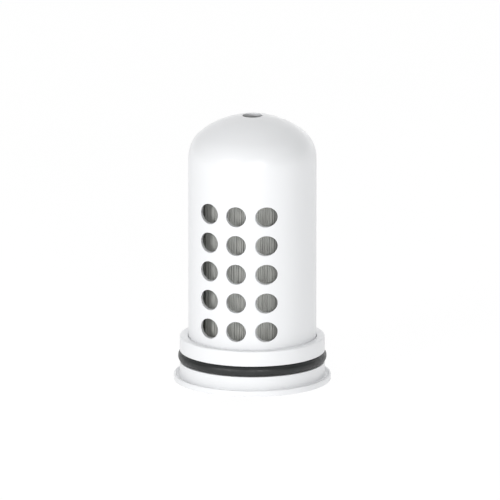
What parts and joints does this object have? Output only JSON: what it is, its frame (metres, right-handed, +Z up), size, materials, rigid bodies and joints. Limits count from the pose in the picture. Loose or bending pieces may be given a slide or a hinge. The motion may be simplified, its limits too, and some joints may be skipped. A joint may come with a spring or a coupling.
{
  "type": "pump water filter cartridge",
  "caption": "White domed, perforated filter cartridge for a hand-pump water filter, with looped hollow fibres potted inside and a black O-ring round its flanged collar.",
  "frame": {"origin": "centre of the collar's underside, on the surface that the cartridge stands on", "axes": "+Z up the cartridge's axis towards the dome; -Y towards one perforated panel and +Y towards the other, so that the plain sides face +X and -X"},
  "size_m": [0.0442, 0.0442, 0.0759],
  "materials": {
    "housing_plastic": "satin",
    "collar_plastic": "satin",
    "seal_rubber": "satin",
    "potting_resin": "gloss",
    "binding_tape": "matte",
    "membrane_fibre": "satin"
  },
  "bodies": {
    "root": {"dome_housing": "housing_plastic", "seal_collar": "collar_plastic", "o_ring": "seal_rubber", "potting_block": "potting_resin", "bundle_tape": "binding_tape", "fibre_hank_outer_01": "membrane_fibre", "fibre_hank_outer_02": "membrane_fibre", "fibre_hank_outer_03": "membrane_fibre", "fibre_hank_outer_04": "membrane_fibre", "fibre_hank_outer_05": "membrane_fibre", "fibre_hank_outer_06": "membrane_fibre", "fibre_hank_outer_07": "membrane_fibre", "fibre_hank_outer_08": "membrane_fibre", "fibre_hank_outer_09": "membrane_fibre", "fibre_hank_outer_10": "membrane_fibre", "fibre_hank_middle_01": "membrane_fibre", "fibre_hank_middle_02": "membrane_fibre", "fibre_hank_middle_03": "membrane_fibre", "fibre_hank_middle_04": "membrane_fibre", "fibre_hank_middle_05": "membrane_fibre", "fibre_hank_middle_06": "membrane_fibre", "fibre_hank_middle_07": "membrane_fibre", "fibre_hank_core_01": "membrane_fibre", "fibre_hank_core_02": "membrane_fibre", "fibre_hank_core_03": "membrane_fibre", "fibre_hank_core_04": "membrane_fibre", "fibre_hank_core_05": "membrane_fibre", "fibre_hank_core_06": "membrane_fibre"}
  },
  "joints": []
}
